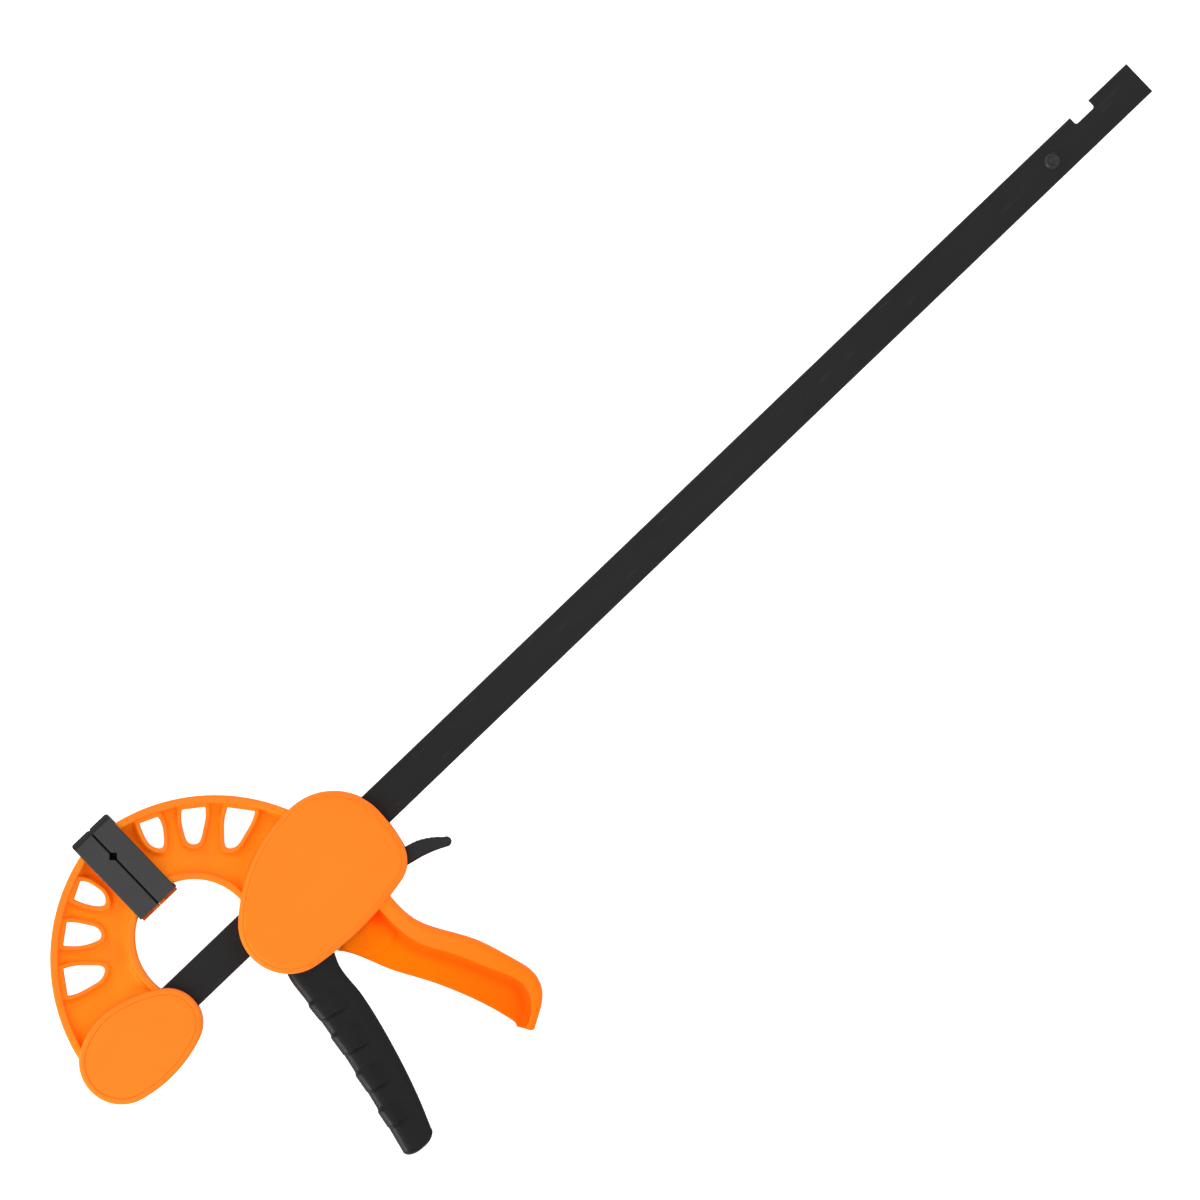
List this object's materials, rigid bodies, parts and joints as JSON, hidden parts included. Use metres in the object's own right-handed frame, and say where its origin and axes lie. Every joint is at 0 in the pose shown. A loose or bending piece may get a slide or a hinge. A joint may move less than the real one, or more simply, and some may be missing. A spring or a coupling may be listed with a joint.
{
  "type": "quick release bar clamp",
  "caption": "One-handed bar clamp with a long flat steel bar, curved moulded jaws with soft pads, squeeze trigger, palm handle and release levers.",
  "frame": {"origin": "on the flat back face of the fixed jaw's cover, under the bar's centre line at the middle of the latch notch that the fixed jaw holds", "axes": "+X along the bar from the fixed jaw to the free end, +Y from the bar towards the jaws' tips (handles point to -Y), +Z out of the front side"},
  "size_m": [0.7289, 0.2305, 0.034],
  "materials": {
    "bar_steel": "satin black coating on flat steel",
    "orange_plastic": "fine matt texture",
    "pad_plastic": "matt, soft",
    "black_plastic": "satin black",
    "plate_steel": "stamped, ground faces",
    "spring_steel": "drawn wire",
    "screw_steel": "zinc plated"
  },
  "bodies": {
    "bar_and_fixed_jaw": {"bar": "bar_steel", "bar_stop_pin": "bar_steel", "fixed_jaw": "orange_plastic", "fixed_jaw_pad": "pad_plastic", "fixed_jaw_back_cover": "orange_plastic", "fixed_jaw_cover_screws": "screw_steel", "button_springs": "spring_steel"},
    "button_and_key": {"release_button": "orange_plastic", "lock_key": "plate_steel"},
    "sliding_head": {"sliding_jaw_body": "orange_plastic", "sliding_jaw_pad": "pad_plastic", "front_side_cover": "orange_plastic", "back_side_cover": "orange_plastic", "side_cover_screws": "screw_steel", "trigger_pivot_pin": "screw_steel", "drive_spring": "spring_steel", "brake_spring": "spring_steel"},
    "trigger_lever": {"trigger": "black_plastic"},
    "drive_plates": {"drive_plate_front": "plate_steel", "drive_plate_rear": "plate_steel"},
    "release_lever": {"brake_plate": "plate_steel", "release_tab": "black_plastic"}
  },
  "joints": [
    {"name": "jaw_slide", "type": "slide", "parent": "bar_and_fixed_jaw", "child": "sliding_head", "axis": [1, 0, 0], "range_m": [0, 0.4635]},
    {"name": "trigger_pull", "type": "hinge", "parent": "sliding_head", "child": "trigger_lever", "pos_m": [0.09175, 0.0127, 0.017], "axis": [0, 0, 1], "range_deg": [0, 20], "stiffness_Nm_per_rad": 1, "springref_deg": -14.32},
    {"name": "drive_stroke", "type": "slide", "parent": "sliding_head", "child": "drive_plates", "axis": [1, 0, 0], "range_m": [0, 0.0096], "deforming": ["drive_spring"]},
    {"name": "release_press", "type": "hinge", "parent": "sliding_head", "child": "release_lever", "pos_m": [0.14025, -0.022, 0.017], "axis": [0, 0, 1], "range_deg": [-7, 0], "stiffness_Nm_per_rad": 0.6, "springref_deg": 8.59, "deforming": ["brake_spring"]},
    {"name": "button_press", "type": "slide", "parent": "bar_and_fixed_jaw", "child": "button_and_key", "axis": [0, 0, -1], "range_m": [0, 0.0045], "stiffness_N_per_m": 1200, "springref_m": -0.002, "deforming": ["button_springs"]}
  ],
  "couplings": [
    {"joint": "drive_stroke", "follows": "trigger_pull", "m_per_rad": 0.0269}
  ]
}
